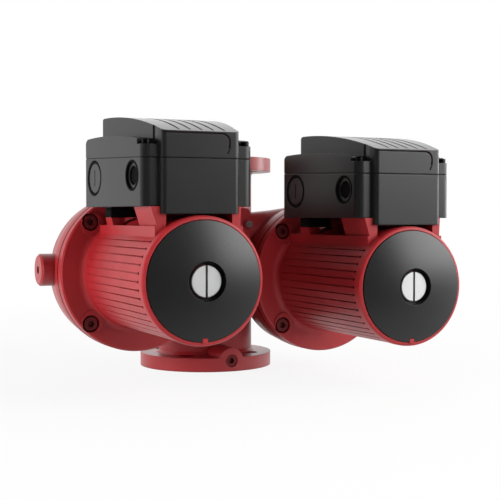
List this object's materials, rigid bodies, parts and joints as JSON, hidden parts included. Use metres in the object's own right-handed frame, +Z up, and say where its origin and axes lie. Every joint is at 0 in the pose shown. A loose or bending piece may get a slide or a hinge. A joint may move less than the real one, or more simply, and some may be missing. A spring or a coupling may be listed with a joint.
{
  "type": "twin circulator pump",
  "caption": "Flanged in-line twin circulator pump: canned-motor heads side by side with terminal boxes on top, and a changeover flap in the shared discharge port.",
  "frame": {"origin": "centre of the lower flange's face, on the port axis", "axes": "+Z up along the port axis to the upper flange, -Y towards the motors' nameplate discs, +X to the right as seen from the motors' side"},
  "size_m": [0.384, 0.3197, 0.2475],
  "materials": {
    "cast_enamel": "satin red enamel over cast iron",
    "casing_enamel": "satin red enamel over die-cast aluminium",
    "plug_enamel": "dark red enamel",
    "flap_steel": "stamped stainless steel",
    "dark_steel": "plain ground steel",
    "bright_steel": "bright steel",
    "impeller_steel": "pressed stainless steel",
    "vent_metal": "turned, bright plated",
    "screw_steel": "blackened steel",
    "seal_rubber": "moulded rubber",
    "carbon": "moulded carbon",
    "laminations": "stacked steel sheets",
    "copper": "varnished copper wire",
    "disc_plastic": "moulded, fine grain",
    "box_plastic": "moulded, fine grain",
    "block_plastic": "moulded",
    "capacitor_case": "moulded can",
    "module_plastic": "moulded",
    "knob_plastic": "moulded"
  },
  "bodies": {
    "housing": {"pump_housing": "cast_enamel", "flap_pin": "dark_steel", "gauge_plugs": "plug_enamel", "side_plugs": "plug_enamel", "vent_plug": "bright_steel", "stator_housing_left": "casing_enamel", "stator_housing_right": "casing_enamel", "flange_screws_left": "plug_enamel", "flange_screws_right": "plug_enamel", "joint_seal_left": "seal_rubber", "joint_seal_right": "seal_rubber", "bearing_plate_left": "bright_steel", "bearing_plate_right": "bright_steel", "rotor_can_left": "bright_steel", "rotor_can_right": "bright_steel", "front_bearing_left": "carbon", "front_bearing_right": "carbon", "rear_bearing_left": "carbon", "rear_bearing_right": "carbon", "stator_stack_left": "laminations", "stator_stack_right": "laminations", "windings_left": "copper", "windings_right": "copper", "neck_ring_left": "bright_steel", "neck_ring_right": "bright_steel", "nameplate_disc_left": "disc_plastic", "nameplate_disc_right": "disc_plastic", "box_base_left": "box_plastic", "box_base_right": "box_plastic", "box_screws_left": "bright_steel", "box_screws_right": "bright_steel", "blanking_plug_left": "box_plastic", "blanking_plug_right": "box_plastic", "plug_gasket_left": "seal_rubber", "plug_gasket_right": "seal_rubber", "terminal_block_left": "block_plastic", "terminal_block_right": "block_plastic", "capacitor_left": "capacitor_case", "capacitor_right": "capacitor_case", "speed_module_left": "module_plastic", "speed_module_right": "module_plastic"},
    "flap": {"flap": "flap_steel"},
    "rotor_left": {"shaft_left": "bright_steel", "rotor_core_left": "laminations", "impeller_left": "impeller_steel"},
    "vent_seal_left": {"vent_seal_left": "seal_rubber"},
    "vent_screw_left": {"vent_screw_left": "vent_metal"},
    "lid_left": {"box_lid_left": "box_plastic", "lid_screws_left": "screw_steel"},
    "knob_left": {"speed_knob_left": "knob_plastic"},
    "rotor_right": {"shaft_right": "bright_steel", "rotor_core_right": "laminations", "impeller_right": "impeller_steel"},
    "vent_seal_right": {"vent_seal_right": "seal_rubber"},
    "vent_screw_right": {"vent_screw_right": "vent_metal"},
    "lid_right": {"box_lid_right": "box_plastic", "lid_screws_right": "screw_steel"},
    "knob_right": {"speed_knob_right": "knob_plastic"}
  },
  "joints": [
    {"name": "flap_swing", "type": "hinge", "parent": "housing", "child": "flap", "pos_m": [0, 0, 0.138], "axis": [0, 1, 0], "range_deg": [0, 76]},
    {"name": "rotor_spin_left", "type": "hinge", "parent": "housing", "child": "rotor_left", "pos_m": [-0.1025, -0.1437, 0.1045], "axis": [0, 1, 0], "continuous": true},
    {"name": "vent_out_left", "type": "slide", "parent": "housing", "child": "vent_seal_left", "axis": [0, -1, 0], "range_m": [0, 0.0135]},
    {"name": "vent_turn_left", "type": "hinge", "parent": "vent_seal_left", "child": "vent_screw_left", "pos_m": [-0.1025, -0.2437, 0.1045], "axis": [0, -1, 0], "range_deg": [0, 3150]},
    {"name": "lid_lift_left", "type": "slide", "parent": "housing", "child": "lid_left", "axis": [0, 0, 1], "range_m": [0, 0.06]},
    {"name": "speed_turn_left", "type": "hinge", "parent": "housing", "child": "knob_left", "pos_m": [-0.1185, -0.1712, 0.1895], "axis": [0, 0, 1], "range_deg": [0, 120]},
    {"name": "rotor_spin_right", "type": "hinge", "parent": "housing", "child": "rotor_right", "pos_m": [0.1025, -0.1437, 0.0945], "axis": [0, 1, 0], "continuous": true},
    {"name": "vent_out_right", "type": "slide", "parent": "housing", "child": "vent_seal_right", "axis": [0, -1, 0], "range_m": [0, 0.0135]},
    {"name": "vent_turn_right", "type": "hinge", "parent": "vent_seal_right", "child": "vent_screw_right", "pos_m": [0.1025, -0.2437, 0.0945], "axis": [0, -1, 0], "range_deg": [0, 3150]},
    {"name": "lid_lift_right", "type": "slide", "parent": "housing", "child": "lid_right", "axis": [0, 0, 1], "range_m": [0, 0.06]},
    {"name": "speed_turn_right", "type": "hinge", "parent": "housing", "child": "knob_right", "pos_m": [0.0865, -0.1712, 0.1795], "axis": [0, 0, 1], "range_deg": [0, 120]}
  ],
  "couplings": [
    {"joint": "vent_out_left", "follows": "vent_turn_left", "m_per_rad": 0.00023873},
    {"joint": "vent_out_right", "follows": "vent_turn_right", "m_per_rad": 0.00023873}
  ]
}
